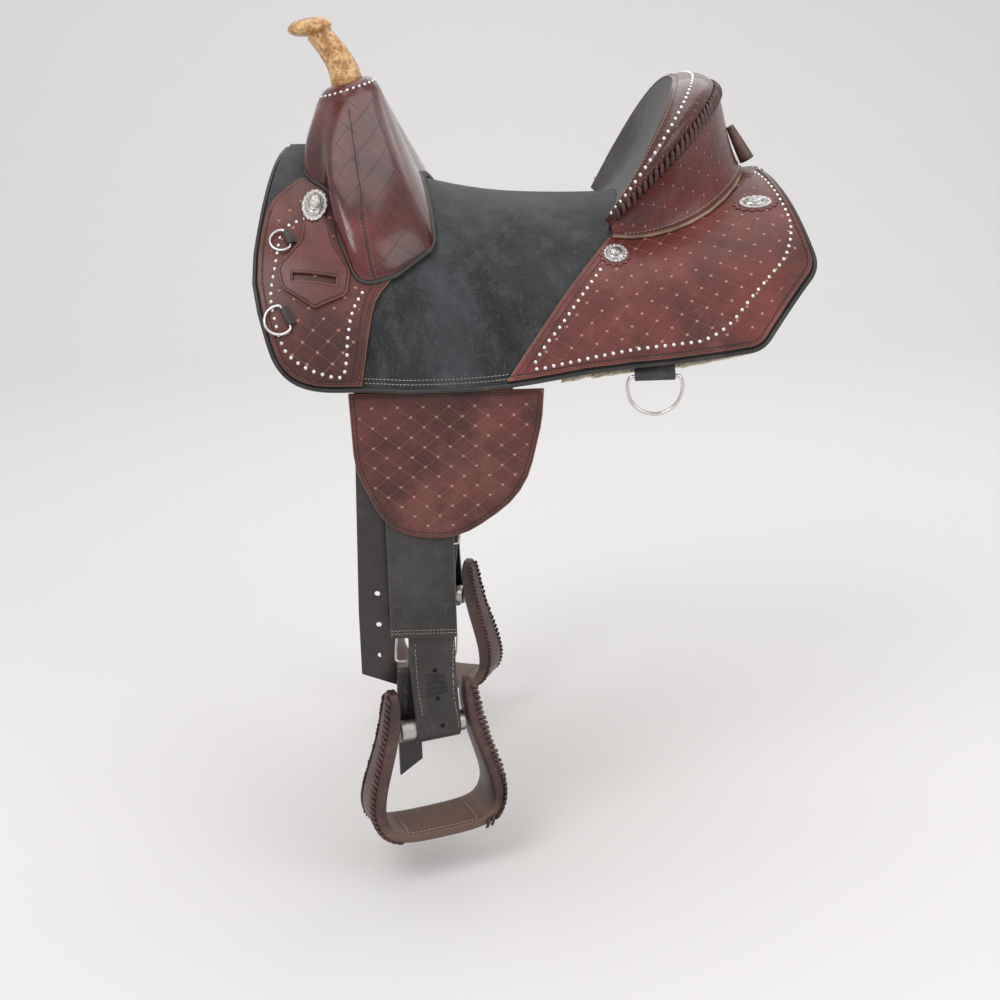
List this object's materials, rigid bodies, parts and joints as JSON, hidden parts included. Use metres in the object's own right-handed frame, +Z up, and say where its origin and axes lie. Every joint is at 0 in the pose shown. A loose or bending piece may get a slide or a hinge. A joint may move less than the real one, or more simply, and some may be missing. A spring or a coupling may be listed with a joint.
{
  "type": "treeless barrel saddle",
  "caption": "Flexible treeless western riding saddle with rawhide horn, suede seat, fleece lining, hinged fenders and laced stirrups.",
  "frame": {"origin": "on the median plane, on the underside spine line at the seat's lowest point, where the saddle rests on the horse's back", "axes": "+X towards the cantle (rear), -Y towards the near (left) side, +Z up"},
  "size_m": [0.6431, 0.568, 0.9634],
  "materials": {
    "tooled_leather": "tooled, semi-gloss chestnut",
    "binding_leather": "dark brown, semi-gloss",
    "suede": "charcoal rough-out suede",
    "black_leather": "black, worn",
    "strap_leather": "black harness leather",
    "stirrup_leather": "reddish brown, semi-gloss",
    "fleece": "cream pile",
    "felt": "dense felt",
    "rawhide": "varnished, mottled golden tan",
    "core": "moulded foam and resin core",
    "steel": "satin",
    "nickel": "polished nickel silver"
  },
  "bodies": {
    "saddle": {"cantle_back": "tooled_leather", "cantle_base": "binding_leather", "cantle_binding": "binding_leather", "cantle_core": "core", "cantle_dish": "suede", "cantle_roll": "binding_leather", "dee_strap_lower_left": "black_leather", "dee_strap_lower_right": "black_leather", "dee_strap_upper_left": "black_leather", "dee_strap_upper_right": "black_leather", "fleece_pad_left": "fleece", "fleece_pad_right": "fleece", "front_concho_left": "nickel", "front_concho_right": "nickel", "front_panel_left": "tooled_leather", "front_panel_right": "tooled_leather", "horn_core": "core", "horn_wrap": "rawhide", "oval_concho_left": "nickel", "oval_concho_right": "nickel", "padding_left": "felt", "padding_right": "felt", "pommel_core": "core", "pommel_cover": "tooled_leather", "rear_concho_left": "nickel", "rear_concho_right": "nickel", "rear_panel_left": "tooled_leather", "rear_panel_right": "tooled_leather", "rear_webbing_left": "black_leather", "rear_webbing_right": "black_leather", "seat_cover": "suede", "swivel_plate_left": "steel", "swivel_plate_right": "steel"},
    "left_hanger": {"hanger_strap_left": "strap_leather"},
    "left_fender": {"fender_left": "tooled_leather", "fender_flap_left": "tooled_leather", "fender_sleeve_left": "suede", "stirrup_leather_left": "strap_leather", "buckle_left": "steel"},
    "left_stirrup": {"stirrup_left": "stirrup_leather", "stirrup_roller_left": "steel"},
    "left_billet": {"billet_left": "strap_leather"},
    "left_keeper": {"latigo_keeper_left": "tooled_leather"},
    "left_upper_dee": {"front_dee_upper_left": "nickel"},
    "left_lower_dee": {"front_dee_lower_left": "nickel"},
    "left_rear_dee": {"rear_dee_left": "nickel"},
    "right_hanger": {"hanger_strap_right": "strap_leather"},
    "right_fender": {"fender_right": "tooled_leather", "fender_flap_right": "tooled_leather", "fender_sleeve_right": "suede", "stirrup_leather_right": "strap_leather", "buckle_right": "steel"},
    "right_stirrup": {"stirrup_right": "stirrup_leather", "stirrup_roller_right": "steel"},
    "right_billet": {"billet_right": "strap_leather"},
    "right_keeper": {"latigo_keeper_right": "tooled_leather"},
    "right_upper_dee": {"front_dee_upper_right": "nickel"},
    "right_lower_dee": {"front_dee_lower_right": "nickel"},
    "right_rear_dee": {"rear_dee_right": "nickel"}
  },
  "joints": [
    {"name": "left_fender_swing", "type": "hinge", "parent": "saddle", "child": "left_hanger", "pos_m": [-0.137, -0.228, -0.14], "axis": [0, 1, 0], "range_deg": [-8, 8]},
    {"name": "left_fender_lift", "type": "hinge", "parent": "left_hanger", "child": "left_fender", "pos_m": [-0.118, -0.228, -0.16], "axis": [-1, 0, 0], "range_deg": [0, 35]},
    {"name": "left_stirrup_swing", "type": "hinge", "parent": "left_fender", "child": "left_stirrup", "pos_m": [-0.139, -0.226, -0.583], "axis": [0.9272, 0.3746, 0], "range_deg": [-30, 30]},
    {"name": "left_billet_swing", "type": "hinge", "parent": "left_hanger", "child": "left_billet", "pos_m": [-0.2, -0.2045, -0.1475], "axis": [0, 1, 0], "range_deg": [-5, 15]},
    {"name": "left_keeper_lift", "type": "hinge", "parent": "saddle", "child": "left_keeper", "pos_m": [-0.25085, -0.16506, 0.01817], "axis": [-0.9965, -0.06, 0.0585], "range_deg": [0, 35]},
    {"name": "left_upper_dee_turn", "type": "hinge", "parent": "saddle", "child": "left_upper_dee", "pos_m": [-0.28195, -0.17581, 0.00944], "axis": [-0.4067, 0.5997, 0.6891], "range_deg": [0, 100]},
    {"name": "left_lower_dee_turn", "type": "hinge", "parent": "saddle", "child": "left_lower_dee", "pos_m": [-0.28299, -0.22836, -0.07095], "axis": [-0.4067, 0.3937, 0.8243], "range_deg": [0, 100]},
    {"name": "left_rear_dee_turn", "type": "hinge", "parent": "saddle", "child": "left_rear_dee", "pos_m": [0.13204, -0.23679, -0.14879], "axis": [-1, 0.002, -0.007], "range_deg": [-10, 110]},
    {"name": "right_fender_swing", "type": "hinge", "parent": "saddle", "child": "right_hanger", "pos_m": [-0.137, 0.228, -0.14], "axis": [0, 1, 0], "range_deg": [-8, 8]},
    {"name": "right_fender_lift", "type": "hinge", "parent": "right_hanger", "child": "right_fender", "pos_m": [-0.118, 0.228, -0.16], "axis": [1, 0, 0], "range_deg": [0, 35]},
    {"name": "right_stirrup_swing", "type": "hinge", "parent": "right_fender", "child": "right_stirrup", "pos_m": [-0.139, 0.226, -0.583], "axis": [0.9272, -0.3746, 0], "range_deg": [-30, 30]},
    {"name": "right_billet_swing", "type": "hinge", "parent": "right_hanger", "child": "right_billet", "pos_m": [-0.2, 0.2045, -0.1475], "axis": [0, 1, 0], "range_deg": [-5, 15]},
    {"name": "right_keeper_lift", "type": "hinge", "parent": "saddle", "child": "right_keeper", "pos_m": [-0.25085, 0.16506, 0.01817], "axis": [0.9965, -0.06, -0.0585], "range_deg": [0, 35]},
    {"name": "right_upper_dee_turn", "type": "hinge", "parent": "saddle", "child": "right_upper_dee", "pos_m": [-0.28195, 0.17581, 0.00944], "axis": [0.4067, 0.5997, -0.6891], "range_deg": [0, 100]},
    {"name": "right_lower_dee_turn", "type": "hinge", "parent": "saddle", "child": "right_lower_dee", "pos_m": [-0.28299, 0.22836, -0.07095], "axis": [0.4067, 0.3937, -0.8243], "range_deg": [0, 100]},
    {"name": "right_rear_dee_turn", "type": "hinge", "parent": "saddle", "child": "right_rear_dee", "pos_m": [0.13204, 0.23679, -0.14879], "axis": [1, 0.002, 0.007], "range_deg": [-10, 110]}
  ]
}
